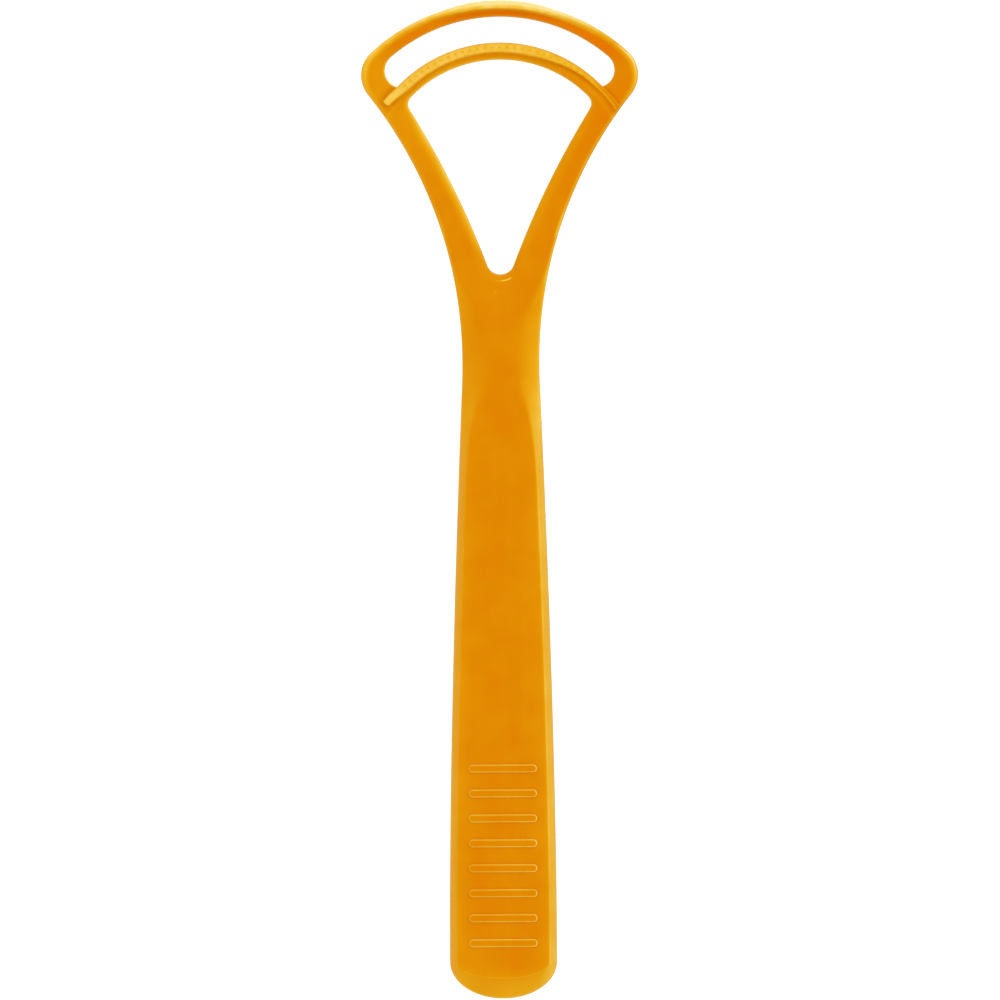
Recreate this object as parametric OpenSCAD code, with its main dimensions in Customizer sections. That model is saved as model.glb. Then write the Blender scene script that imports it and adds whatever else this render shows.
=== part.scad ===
// Tongue scraper: a long flat handle, a crowned neck and a forked head with two scraping bows.
// It lies on its flat back. X runs across it, Y towards the head and Z up to the blades.

/* [Handle] */
// Length from the butt to the tip of the flat panel
handle_l = 98; // [84:1:130]
// Width where the handle is widest
grip_w = 17.2; // [15:0.1:22]
// Distance from the butt to the widest place
grip_from_butt = 12; // [8:0.5:30]
// Power by which the handle narrows from there to the waist
taper_power = 1.6; // [1.2:0.1:2.5]
// Length of the rounded butt
butt_l = 5.9; // [4.5:0.1:8]
// Thickness from the back to the flat panel
handle_t = 3.2; // [2.6:0.1:5]
// Height of the side wall below the bevel
side_wall_h = 1.5; // [0.9:0.1:2]
// Width of the bevel on each side of the panel
bevel_w = 1.2; // [0.6:0.1:2]
// Length of the bevel at the butt
butt_bevel_l = 3.3; // [1:0.1:4]
// Length over which the panel widens from its tip to 0.7 of the handle's width
tip_l = 5; // [2:0.5:10]
// Chamfer along the edges of the back
back_chamfer = 0.4; // [0.2:0.05:0.6]

/* [Grip ribs] */
// Number of ribs across the panel
rib_count = 8; // [3:1:12]
// Distance from one rib to the next
rib_pitch = 4; // [2.5:0.1:5]
// Distance from the butt to the first rib
rib_from_butt = 9; // [8:0.5:20]
// Distance from the end of a rib to the edge of the panel
rib_margin = 1.9; // [0.5:0.1:3]
// Width of a rib
rib_w = 1.3; // [0.8:0.1:2]
// Height of a rib above the panel
rib_h = 0.3; // [0.2:0.05:0.6]

/* [Neck] */
// Width of the waist
waist_w = 12.4; // [10:0.1:14]
// Distance from the tip of the panel to the waist
waist_up = 2; // [1:0.5:3]
// Straight length of the waist
waist_l = 2.2; // [1:0.1:4]
// Distance from the tip of the panel to the bottom of the fork
neck_l = 18.25; // [14:0.25:24]
// Width of the flat ridge along the top of the crown
ridge_w = 0.6; // [0.3:0.1:2]

/* [Fork] */
// Radius at the bottom of the fork
fork_r = 2.25; // [1.6:0.05:3.5]
// Length of the yoke below the bottom of the fork
yoke_down = 6; // [4:0.5:8]
// Length of the yoke above the bottom of the fork
yoke_up = 6; // [4:0.5:9]
// Length above the bottom of the fork where the crown has flattened to the plate of the arms
level_up = 2; // [0:0.5:4]
// Thickness of the arms and the bows
plate_t = 2.2; // [1.6:0.1:3]
// Width of the bevel along the outside of the arms
arm_bevel_w = 0.4; // [0.2:0.05:0.6]
// Depth of the bevel along the outside of the arms
arm_bevel_h = 0.4; // [0.2:0.05:0.7]
// Width of the bevel around the bottom of the window
window_bevel_w = 1.1; // [0.4:0.05:1.4]
// Depth of the bevel around the bottom of the window
window_bevel_h = 0.5; // [0.2:0.05:0.8]

/* [Head] */
// Length from the bottom of the fork to the top of the outer bow
head_l = 43.75; // [40:0.25:52]
// Width across the shoulders
head_w = 44.5; // [42:0.5:50]
// Radius of the outside of the outer bow
outer_r = 30.5; // [28:0.5:36]
// Radius of the shoulders
shoulder_r = 5; // [3.5:0.1:6]
// Width of the arms beside the upper corners of the window
arm_top_w = 7.55; // [6.5:0.05:9]
// Radius of the upper corners of the window
corner_r = 1.6; // [1.4:0.1:3]
// Radius of the long sides of the window
window_side_r = 138; // [110:1:300]

/* [Bows] */
// Width of the outer bow at its top
outer_bow_w = 2.35; // [1.8:0.05:3]
// Extra width of the outer bow where it meets the shoulders
bow_flare_w = 1.3; // [0.5:0.1:2]
// Width of the slot between the bows
slot_w = 4.2; // [3.5:0.05:5]
// Width of the shoulders beside the ends of the slot
shoulder_w = 3.8; // [3.2:0.1:5]
// Radius of the ends of the slot
slot_end_r = 2.85; // [2.6:0.05:3.2]
// Width of the inner bow
inner_bow_w = 2.7; // [2.2:0.1:3.4]
// Bevel along the rim of the slot
slot_bevel = 0.25; // [0.1:0.05:0.4]

/* [Blades] */
// Height of both blades above the bows
blade_h = 1.1; // [0.6:0.1:2]
// Width of the smooth blade at its foot
smooth_foot_w = 1.1; // [0.8:0.1:1.4]
// Width of the crest of the smooth blade
smooth_crest_w = 0.35; // [0.2:0.05:0.6]
// Distance from the outer foot of the smooth blade to its crest
smooth_crest_in = 0.15; // [0.05:0.05:0.2]
// Width of the toothed blade at its foot
toothed_foot_w = 1.5; // [1.2:0.1:1.9]
// Width of the crest of the toothed blade
toothed_crest_w = 0.8; // [0.5:0.05:1.1]
// Distance from one notch between the teeth to the next
tooth_pitch = 1.2; // [0.9:0.05:2]
// Width of a notch at the crest
notch_w = 0.6; // [0.3:0.05:0.8]
// Depth of a notch
notch_h = 0.4; // [0.2:0.05:0.5]
// Distance from the round end of the toothed blade to the outside of the arm
toothed_end_gap = 1.4; // [1:0.1:3]

/* [Hidden] */

// Numbers of steps along the curves
side_steps = 30;
butt_steps = 18;
crown_steps = 5;
neck_steps = 8;
flare_steps = 6;
arm_steps = 12;
corner_steps = 6;
shoulder_steps = 10;
bow_steps = 36;
rib_steps = 8;
end_steps = 5;
// Two pieces of the moulding meet on a face whose edges are kept this sharp
seam_edge = 0.05;
// The window's bevel narrows to this share of its size at the upper corners
corner_bevel_share = 0.5;
// A ring of the yoke spends at most this share of its width on the crown
crown_reach_share = 0.7;
// The ends of the smooth blade come down to this share of its height and width
blade_end_share = 0.25;
// A high power keeps the smooth blade level until just before its ends
blade_end_power = 30;
// The round end of the toothed blade is drawn up to this bearing of its last quarter circle
end_sweep_a = 85;

// Places along Y, from the butt to the top of the outer bow
total_l = handle_l + neck_l + head_l;
butt_y = -total_l / 2;
top_y = total_l / 2;
butt_c_y = butt_y + butt_l;
grip_y = butt_y + grip_from_butt;
tip_y = butt_y + handle_l;
waist_y = tip_y + waist_up;
flare_y = waist_y + waist_l;
fork_y = tip_y + neck_l;
yoke_y = fork_y - yoke_down;
arm_y = fork_y + yoke_up;
level_y = fork_y + level_up;

// Centres of the arcs in the right half of the head, which follow the outer bow and the head's width
window_w = head_w - 2 * arm_top_w;
slot_l = head_w - 2 * shoulder_w;
slot_r = outer_r - outer_bow_w - bow_flare_w;
outer_c = [0, top_y - outer_r];
arch_c = [0, top_y - outer_bow_w - slot_r];
bow_r = slot_r - slot_w;
window_r = bow_r - inner_bow_w;
fork_c = [0, fork_y + fork_r];
shoulder_c = nested_c(outer_c, outer_r, head_w / 2, shoulder_r);
slot_end_c = nested_c(arch_c, slot_r, slot_l / 2, slot_end_r);
corner_c = nested_c(arch_c, window_r, window_w / 2, corner_r);
side_c = crossing(fork_c, window_side_r + fork_r, corner_c, window_side_r + corner_r);
slot_tip = crossing(arch_c, bow_r, slot_end_c, slot_end_r);

// The outside of the arm leaves the waist along Y and ends on the shoulder, touching both
flare_x = shoulder_c[0] - waist_w / 2;
flare_h = shoulder_c[1] - flare_y;
flare_r = (flare_x ^ 2 + flare_h ^ 2 - shoulder_r ^ 2) / (2 * (flare_x + shoulder_r));
flare_c = [waist_w / 2 + flare_r, flare_y];

// Bearings, from +X towards +Y, where one arc passes into the next
fork_a = bearing(fork_c, side_c);
side_low_a = 180 - asin((arm_y - side_c[1]) / window_side_r);
side_top_a = bearing(side_c, corner_c);
window_end_a = bearing(arch_c, corner_c);
slot_end_a = bearing(arch_c, slot_end_c);
slot_tip_a = bearing(slot_end_c, slot_tip);
shoulder_low_a = bearing(shoulder_c, flare_c);
shoulder_top_a = bearing(outer_c, shoulder_c);

// Centre of a small arc that touches a large one from inside and reaches a given half width
function nested_c(c, r, half_w, small_r) =
    [half_w - small_r, c[1] + sqrt((r - small_r) ^ 2 - (half_w - small_r) ^ 2)];

// Point at two given distances from two centres, on the right of the way from the first to the second
function crossing(c1, d1, c2, d2) =
    let (
        d = norm(c2 - c1),
        e = (c2 - c1) / d,
        along = (d1 ^ 2 - d2 ^ 2 + d ^ 2) / (2 * d)
    )
    c1 + along * e + sqrt(d1 ^ 2 - along ^ 2) * [e[1], -e[0]];

function bearing(from, to) = atan2(to[1] - from[1], to[0] - from[0]);
function on_arc(c, r, a) = c + r * [cos(a), sin(a)];
function arc(c, r, a1, a2, steps, first = 0) =
    [for (i = [first:steps]) on_arc(c, r, mix(a1, a2, i / steps))];

// Point of a circle seen from a place inside it at a given bearing
function seen_from(place, a, c, r) =
    let (u = [cos(a), sin(a)], w = place - c, along = w * u)
    place + u * (sqrt(along ^ 2 + r ^ 2 - w * w) - along);

function ease(x) = let (t = max(0, min(1, x))) t * t * (3 - 2 * t);
function mix(a, b, t) = a + (b - a) * t;
function backwards(list) = [for (i = [len(list) - 1:-1:0]) list[i]];
function mirrored(points) = [for (p = points) len(p) == 2 ? [-p[0], p[1]] : [-p[0], p[1], p[2]]];
function raised(points, z) = [for (p = points) [p[0], p[1], z]];

// Half width of the moulding from the butt to the arms
function half_w(y) =
    y > flare_y ? flare_c[0] - sqrt(flare_r ^ 2 - (y - flare_y) ^ 2)
    : y > waist_y ? waist_w / 2
    : y > grip_y ? mix(grip_w, waist_w, ((y - grip_y) / (waist_y - grip_y)) ^ taper_power) / 2
    : grip_w / 2;

// Share of the way from the crowned neck to the flat arms
function flat_share(y) = ease((y - waist_y) / (level_y - waist_y));

// Half width of what is flat on the front: the panel, the ridge of the neck or the arms
function panel_w(y) = min(half_w(y) - bevel_w, half_w(y) * sqrt((tip_y - y) / (tip_y - y + tip_l)));
function flat_w(y) =
    y < tip_y ? max(ridge_w / 2, panel_w(y))
    : mix(ridge_w / 2, half_w(y) - arm_bevel_w, flat_share(y));

// Height of the front: a crown across the width, cut off at the flat
function wall_h(y) = mix(side_wall_h, plate_t - arm_bevel_h, flat_share(y));
function crest_h(y) = mix(handle_t, plate_t, flat_share(y));
function crown(s, flat) = min(1, (1 - s ^ 2) / (1 - flat ^ 2));
function front_h(x, y) =
    mix(wall_h(y), crest_h(y), crown(min(1, abs(x) / half_w(y)), flat_w(y) / half_w(y)));

// Solid through a row of rings with as many points each, closed by the first and the last ring
module skin(rings) {
    n = len(rings[0]);
    last = (len(rings) - 1) * n;
    polyhedron(
        points = [for (ring = rings) each ring],
        faces = concat(
            [for (i = [1:n - 2]) [0, i + 1, i]],
            [for (i = [1:n - 2]) [last, last + i, last + i + 1]],
            [for (k = [0:len(rings) - 2], i = [0:n - 1])
                let (a = k * n + i, b = k * n + (i + 1) % n)
                each [[a, b, a + n], [b, b + n, a + n]]]
        )
    );
}

// Outline of the handle, or of its panel, down the right side and up the left
side_ys = [for (i = [0:side_steps]) mix(tip_y, butt_c_y, (i / side_steps) ^ 2)];
function handle_outline(right_x, butt_inset, end_inset) =
    let (
        right = [for (i = [0:len(side_ys) - 1]) [right_x[i], side_ys[i]]],
        butt = [for (i = [1:butt_steps - 1]) let (a = -180 * i / butt_steps)
            [(grip_w / 2 - butt_inset) * cos(a), butt_c_y + (butt_l - end_inset) * sin(a)]]
    )
    concat(right, butt, backwards(mirrored(right)));

module handle() {
    wall = handle_outline([for (y = side_ys) half_w(y)], 0, 0);
    back = handle_outline([for (y = side_ys) half_w(y) - back_chamfer], back_chamfer, back_chamfer);
    panel = handle_outline([for (y = side_ys) flat_w(y)], bevel_w, butt_bevel_l);
    function flat_at(y) = y > butt_c_y ? flat_w(y) / half_w(y) : 1 - 2 * bevel_w / grip_w;
    function bevel_ring(t) = [for (i = [0:len(wall) - 1])
        let (p = mix(wall[i], panel[i], t), flat = flat_at(wall[i][1]))
        [p[0], p[1], mix(side_wall_h, handle_t, crown(mix(1, flat, t), flat))]];
    color([0.89, 0.53, 0.02])
        skin(concat(
            [raised(back, 0), raised(wall, back_chamfer)],
            [for (k = [0:crown_steps]) bevel_ring(k / crown_steps)]
        ));
}

// Low ribs with round ends and bevelled tops, in a row along the panel
module grip_ribs() {
    foot_r = rib_w / 2;
    end_c = [grip_w / 2 - bevel_w - rib_margin - foot_r, 0];
    function outline(r) = concat(arc(end_c, r, -90, 90, rib_steps), arc(-end_c, r, 90, 270, rib_steps));
    color([0.93, 0.62, 0.1])
        for (i = [0:rib_count - 1])
            translate([0, butt_y + rib_from_butt + i * rib_pitch, handle_t])
                skin([
                    raised(outline(foot_r - rib_h / 2), rib_h),
                    raised(outline(foot_r), rib_h / 2),
                    raised(outline(foot_r), 0)
                ]);
}

// Section across the handle, the neck or the yoke at one place along Y
function body_ring(y) =
    let (
        half = half_w(y),
        front = [for (k = [0:crown_steps]) let (x = mix(half, flat_w(y), k / crown_steps))
            [x, y, front_h(x, y)]],
        right = concat([[half - back_chamfer, y, 0], [half, y, back_chamfer]], front)
    )
    concat(right, backwards(mirrored(right)));

module neck() {
    color([0.9, 0.55, 0.04])
        skin([for (i = [0:neck_steps]) body_ring(mix(tip_y, yoke_y, i / neck_steps))]);
}

// Ring of the yoke from the window's edge a to the edge b, which is on the neck or outside
function yoke_ring(a, b) =
    let (
        away = (b - a) / norm(b - a),
        outside = b[0] >= half_w(b[1]),
        chamfer = [outside ? back_chamfer : 0, 0],
        rim = a + window_bevel_w * away,
        way = rim - b,
        reach = min(half_w(b[1]) - flat_w(b[1]), crown_reach_share * norm(way)),
        crown = [for (k = [0:crown_steps]) b + way * reach / norm(way) * k / crown_steps]
    )
    concat(
        raised([a + back_chamfer * away, b - chamfer], 0),
        raised([b], back_chamfer),
        [for (p = concat(crown, [rim])) [p[0], p[1], front_h(p[0], p[1])]],
        raised([a], front_h(a[0], a[1]) - window_bevel_h),
        raised([a], back_chamfer)
    );

// The yoke is one band round the bottom of the window, from the left arm to the right arm
module yoke() {
    inner = concat(
        arc(fork_c, fork_r, -90, fork_a, crown_steps + 1),
        arc(side_c, window_side_r, 180 + fork_a, side_low_a, flare_steps, 1)
    );
    outer = concat(
        [[0, yoke_y]],
        [for (k = [crown_steps:-1:0]) [mix(half_w(yoke_y), flat_w(yoke_y), k / crown_steps), yoke_y]],
        [for (i = [1:flare_steps]) let (y = mix(yoke_y, arm_y, i / flare_steps)) [half_w(y), y]]
    );
    right = [for (i = [0:len(inner) - 1]) yoke_ring(inner[i], outer[i])];
    left = [for (i = [len(inner) - 1:-1:1]) mirrored(right[i])];
    color([0.88, 0.53, 0.02])
        skin(concat(left, right));
}

// Ring of the arms and bows from the edge a, near the window, to the edge b.
// Each edge has a bevel [width, depth] on the front and a chamfer on the back.
function plate_ring(a, b, a_bevel, b_bevel, a_chamfer, b_chamfer) =
    let (away = (b - a) / norm(b - a))
    concat(
        raised([a + a_chamfer * away, b - b_chamfer * away], 0),
        raised([b], b_chamfer),
        raised([b], plate_t - b_bevel[1]),
        raised([b - b_bevel[0] * away, a + a_bevel[0] * away], plate_t),
        raised([a], plate_t - a_bevel[1]),
        raised([a], a_chamfer)
    );

arm_bevel = [arm_bevel_w, arm_bevel_h];
window_bevel = [window_bevel_w, window_bevel_h];
rim_bevel = [slot_bevel, slot_bevel];
sharp = [seam_edge, seam_edge];

// One arm with its shoulder, from the yoke to the outer bow. Its inner edge follows the window,
// passes under the end of the inner bow and goes round the end of the slot.
module arm() {
    flare_low_a = 180 - asin((arm_y - flare_y) / flare_r);
    side = arc(side_c, window_side_r, side_low_a, side_top_a, arm_steps);
    corner = arc(corner_c, corner_r, side_top_a - 180, window_end_a, corner_steps, 1);
    slot_end = arc(slot_end_c, slot_end_r, slot_tip_a, slot_end_a, shoulder_steps);

    side_flare_a = bearing(flare_c, side[arm_steps]);
    side_out = arc(flare_c, flare_r, flare_low_a, side_flare_a, arm_steps);
    corner_out = [for (p = concat(corner, [slot_tip])) on_arc(flare_c, flare_r, bearing(flare_c, p))];
    shoulder_out = concat(
        arc(shoulder_c, shoulder_r, shoulder_low_a, shoulder_top_a, shoulder_steps - 1),
        [seen_from(arch_c, slot_end_a, outer_c, outer_r)]
    );

    side_rings = [for (i = [0:arm_steps]) let (share = mix(1, corner_bevel_share, i / arm_steps))
        plate_ring(side[i], side_out[i], share * window_bevel, arm_bevel, back_chamfer, back_chamfer)];
    corner_rings = [for (i = [0:corner_steps - 1]) let (share = (i + 1) / corner_steps)
        plate_ring(
            corner[i], corner_out[i],
            mix(corner_bevel_share * window_bevel, sharp, share), arm_bevel,
            mix(back_chamfer, seam_edge, share), back_chamfer
        )];
    slot_rings = [for (i = [0:shoulder_steps])
        plate_ring(
            slot_end[i], i == 0 ? corner_out[corner_steps] : shoulder_out[i - 1],
            i == 0 ? sharp : rim_bevel, arm_bevel,
            i == 0 ? seam_edge : back_chamfer, back_chamfer
        )];
    last = plate_ring(
        slot_end[shoulder_steps], shoulder_out[shoulder_steps],
        rim_bevel, arm_bevel, back_chamfer, back_chamfer
    );
    skin(concat(side_rings, corner_rings, slot_rings, [last]));
}

module right_arm() {
    color([0.9, 0.56, 0.05])
        arm();
}

module left_arm() {
    color([0.9, 0.56, 0.05])
        mirror([1, 0, 0])
            arm();
}

module outer_bow() {
    color([0.88, 0.5, 0.02])
        skin([for (a = [for (i = [0:bow_steps]) mix(slot_end_a, 180 - slot_end_a, i / bow_steps)])
            plate_ring(
                on_arc(arch_c, slot_r, a), seen_from(arch_c, a, outer_c, outer_r),
                rim_bevel, arm_bevel, back_chamfer, back_chamfer
            )]);
}

// The inner bow ends on the straight seams between the window's corners and the tips of the slot
module inner_bow() {
    tip_a = bearing(arch_c, slot_tip);
    color([0.88, 0.5, 0.02])
        skin([for (t = [for (i = [0:bow_steps]) i / bow_steps])
            plate_ring(
                on_arc(arch_c, window_r, mix(window_end_a, 180 - window_end_a, t)),
                on_arc(arch_c, bow_r, mix(tip_a, 180 - tip_a, t)),
                corner_bevel_share * window_bevel, sharp, back_chamfer, back_chamfer
            )]);
}

// Ring of a blade: its foot and crest at four distances from a centre, each at its own bearing
function blade_ring(c, rs, as, h) =
    let (p = [for (i = [0:3]) on_arc(c, rs[i], as[i])])
    concat(raised([p[0], p[1]], plate_t), raised([p[2], p[3]], plate_t + h));

// Plain lip along the outside of the outer bow, drawn down at its ends
module smooth_blade() {
    foot_r = outer_r - arm_bevel_w;
    crest_r = foot_r - smooth_crest_in;
    middle_r = foot_r - smooth_foot_w / 2;
    rs = [foot_r - smooth_foot_w, foot_r, crest_r, crest_r - smooth_crest_w];
    color([0.96, 0.75, 0.25])
        skin([for (t = [for (i = [0:bow_steps]) 2 * i / bow_steps - 1])
            let (
                a = mix(90, shoulder_top_a, -t),
                share = mix(1, blade_end_share, abs(t) ^ blade_end_power)
            )
            blade_ring(outer_c, [for (r = rs) mix(middle_r, r, share)], [a, a, a, a], share * blade_h)]);
}

// Rib along the slot side of the inner bow. It has V notches over the bow and plain ends on the arms:
// the right one runs to the outside of the arm, and the left one is round and stops short of it.
module toothed_blade() {
    foot_r = bow_r - seam_edge;
    crest_r = foot_r - (toothed_foot_w - toothed_crest_w) / 3;
    middle_r = foot_r - toothed_foot_w / 2;
    rs = [foot_r - toothed_foot_w, foot_r, crest_r, crest_r - toothed_crest_w];
    pitch_a = tooth_pitch / middle_r * 180 / PI;
    notch_a = notch_w / 2 / middle_r * 180 / PI;
    end_a = toothed_foot_w / 2 / middle_r * 180 / PI;
    count = floor((90 - window_end_a) / pitch_a);
    run_out = [for (r = rs) bearing(arch_c, crossing(flare_c, flare_r + arm_bevel_w, arch_c, r))];
    left_a = 180 - bearing(arch_c, crossing(flare_c, flare_r + toothed_end_gap, arch_c, middle_r));
    function ring(a, h) = blade_ring(arch_c, rs, [a, a, a, a], h);
    function round_end(t) =
        let (a = left_a - end_a * (1 - t), share = sqrt(1 - t ^ 2))
        blade_ring(arch_c, [for (r = rs) mix(middle_r, r, share)], [a, a, a, a], blade_h);
    color([0.97, 0.74, 0.24])
        skin(concat(
            [blade_ring(arch_c, rs, run_out, blade_h)],
            [for (i = [-count:count]) let (a = 90 + i * pitch_a)
                each [ring(a - notch_a, blade_h), ring(a, blade_h - notch_h), ring(a + notch_a, blade_h)]],
            [for (i = [0:end_steps]) round_end(sin(end_sweep_a * i / end_steps))]
        ));
}

handle();
grip_ribs();
neck();
yoke();
left_arm();
right_arm();
outer_bow();
inner_bow();
smooth_blade();
toothed_blade();
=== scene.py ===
"""Looks of the tongue scraper: a one-piece tool moulded from slightly see-through orange plastic.

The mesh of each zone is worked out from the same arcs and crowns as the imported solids, with rounded
edges. Lengths are in millimetres until a mesh is made, and X runs across, Y to the head and Z up.
"""

import bpy
import numpy as np
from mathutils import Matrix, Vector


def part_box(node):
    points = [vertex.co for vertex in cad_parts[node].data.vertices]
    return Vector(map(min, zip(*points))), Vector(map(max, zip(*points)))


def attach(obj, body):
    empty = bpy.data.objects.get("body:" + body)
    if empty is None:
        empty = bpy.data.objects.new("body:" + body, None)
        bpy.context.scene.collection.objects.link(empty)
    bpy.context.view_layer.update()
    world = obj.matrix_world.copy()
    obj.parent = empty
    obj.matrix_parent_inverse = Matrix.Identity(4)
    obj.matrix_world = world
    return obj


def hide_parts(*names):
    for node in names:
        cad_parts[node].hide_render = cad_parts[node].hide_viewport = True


# Frame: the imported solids, whose boxes give the main sizes
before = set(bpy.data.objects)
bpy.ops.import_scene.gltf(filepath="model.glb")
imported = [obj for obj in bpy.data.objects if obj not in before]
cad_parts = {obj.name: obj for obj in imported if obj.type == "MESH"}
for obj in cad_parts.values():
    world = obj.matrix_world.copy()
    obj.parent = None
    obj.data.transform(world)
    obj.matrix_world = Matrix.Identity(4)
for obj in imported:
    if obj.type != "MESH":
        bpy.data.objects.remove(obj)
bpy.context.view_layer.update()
MM = 0.001


def low_high(node):
    """Lowest and highest corner of a CAD node in millimetres."""
    low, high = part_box(node)
    return np.array(low) / MM, np.array(high) / MM


# Handle: a solid grip with a steep bevel round a flat front panel and a rounded butt.
# It is orange plastic from the mould's deepest part, gloss outside and darkest where it is thickest.
(_, butt_y, _), (grip_half, tip_y, handle_t) = low_high("handle")
grip_from_butt = 12
taper_power = 1.6
butt_l = 5.9
side_wall_h = 1.5
bevel_w = 1.2
butt_bevel_l = 3.3
tip_l, tip_up, tip_softness = 6, 0.5, 1.5
waist_half = 6.2
waist_up = 2
back_r = 0.4
edge_r = 0.3
crease_softness, panel_softness = 0.22, 0.03
butt_c_y = butt_y + butt_l
grip_y = butt_y + grip_from_butt
waist_y = tip_y + waist_up


def mix(a, b, t):
    """a where t is 0 and b where it is 1, along a straight line."""
    return a + (b - a) * t


def soft_least(a, b, k):
    """The lesser of a and b, with the corner between them rounded over a difference of k."""
    return np.minimum(a, b) - np.maximum(k - np.abs(a - b), 0) ** 2 / (4 * k)


def smooth_step(x, low, high):
    """0 up to low and 1 from high on, along a cubic curve that is level at both ends."""
    t = np.clip((x - low) / (high - low), 0, 1)
    return t * t * (3 - 2 * t)


def falling(x, low, high):
    """1 up to low and 0 from high on, the opposite of smooth_step."""
    return 1 - smooth_step(x, low, high)


def bell(x, middle, w, power=2):
    """Bell curve: 1 in the middle and 0.37 at the distance w. A higher power has steeper sides."""
    return np.exp(-(((x - middle) / w) ** power))


def quarter_round(d, r):
    """Drop of a rounded edge: r at the edge, nothing from the distance r on, along a quarter circle."""
    t = np.clip(1 - d / r, 0, 1)
    return r * (1 - np.sqrt(1 - t**2))


def half_width(y):
    """Half width of the grip: level near the butt, then a power curve down to the waist."""
    share = np.clip((y - grip_y) / (waist_y - grip_y), 0, 1)
    return mix(grip_half, waist_half, share**taper_power)


def panel_share(y, half):
    """Share of the half width that is flat: it grows from the tip on, up to the width of the bevel."""
    d = tip_y + tip_up - y
    u = (d + np.sqrt(d**2 + tip_softness**2)) / 2
    return soft_least(np.sqrt(u / (u + tip_l)), 1 - bevel_w / half, panel_softness)


def crown(s, flat):
    """Height share across a half width: a parabola from 0 at the edge, cut off level at the share flat."""
    return soft_least(1, (1 - s**2) / (1 - flat**2), crease_softness)


def ghosted(n):
    """Shares 0 to 1 in n steps, with one more step at each end for the slopes there."""
    return np.arange(-1, n + 2) / n


def closer_at_ends(n):
    """Shares 0 to 1 in n steps that get smaller towards both ends, along a half cosine."""
    return (1 - np.cos(np.pi * np.arange(n + 1) / n)) / 2


bevel_steps, panel_steps = 16, 10


def shares_across(flat):
    """Shares of the half width from the edge, over the crease at flat, to the middle line."""
    bevel = mix(1, flat[:, None], closer_at_ends(bevel_steps)[None])
    panel = flat[:, None] * (1 - closer_at_ends(panel_steps)[None, 1:])
    return np.concatenate([bevel, panel], 1)


def unit_normals(normal, spare):
    """Normals of length 1, and the spare one where the sheet is drawn to a point."""
    length = np.linalg.norm(normal, axis=2, keepdims=True)
    return np.where(length > 1e-9, normal / np.maximum(length, 1e-9), spare)


def ring_sheet(top, back, open_start=False):
    """Sheet of points, normals and thinness from sections over a front and a back.

    top and back are (sections, samples, 4): place and thinness. The first and the last section only
    serve the slopes. A ring runs along the front and home along the back. With open_start the first
    sample is past a seam, and the ring stops at the seam instead of closing through a wall.
    """
    ring = np.concatenate([top, back[:, ::-1]], 1)
    if not open_start:
        ring = np.concatenate([ring[:, -1:], ring, ring[:, :2]], 1)
    around = ring[1:-1, 2:, :3] - ring[1:-1, :-2, :3]
    along = ring[2:, 1:-1, :3] - ring[:-2, 1:-1, :3]
    ring = ring[1:-1, 1:-1]
    normal = np.cross(along, around)
    if normal[:, : top.shape[1] - 1, 2].sum() < 0:
        normal = -normal
    on_front = np.arange(ring.shape[1])[None, :, None] < ring.shape[1] / 2
    upright = np.where(on_front, [0.0, 0.0, 1.0], [0.0, 0.0, -1.0])
    return ring[..., :3], unit_normals(normal, upright), ring[..., 3]


def seam_sheet(top, back, away):
    """Flat end between a front row and a back row, facing along away."""
    rows = np.stack([top, back])
    line = top[-1, :2] - top[0, :2]
    across = np.array([line[1], -line[0]]) / np.linalg.norm(line)
    across = across * (1 if across @ away > 0 else -1)
    normal = np.broadcast_to([across[0], across[1], 0.0], rows[..., :3].shape)
    return rows[..., :3], normal, rows[..., 3]


def mirrored(sheets):
    """The same sheets on the other side of the middle line."""
    turn = np.array([-1.0, 1.0, 1.0])
    return [(place * turn, normal * turn, thin) for place, normal, thin in sheets]


# Thinness decides the colour. It grows on slopes, most on those that face right, as painted light that
# makes the slopes paler, and the head is a little lighter on the left.
level_thin = 0.2
steep = 50
painted_right_light_gain = 1.25
wall_level, face_level = 0.05, 0.7
head_thin, head_thin_per_mm = 0.035, 0.0055
head_from_y, head_full_y = 36, 60


def flow_shift(x, y):
    """More thinness on the head, a straight line across it, and none on the handle."""
    return (head_thin - head_thin_per_mm * x) * smooth_step(y, head_from_y, head_full_y)


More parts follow.
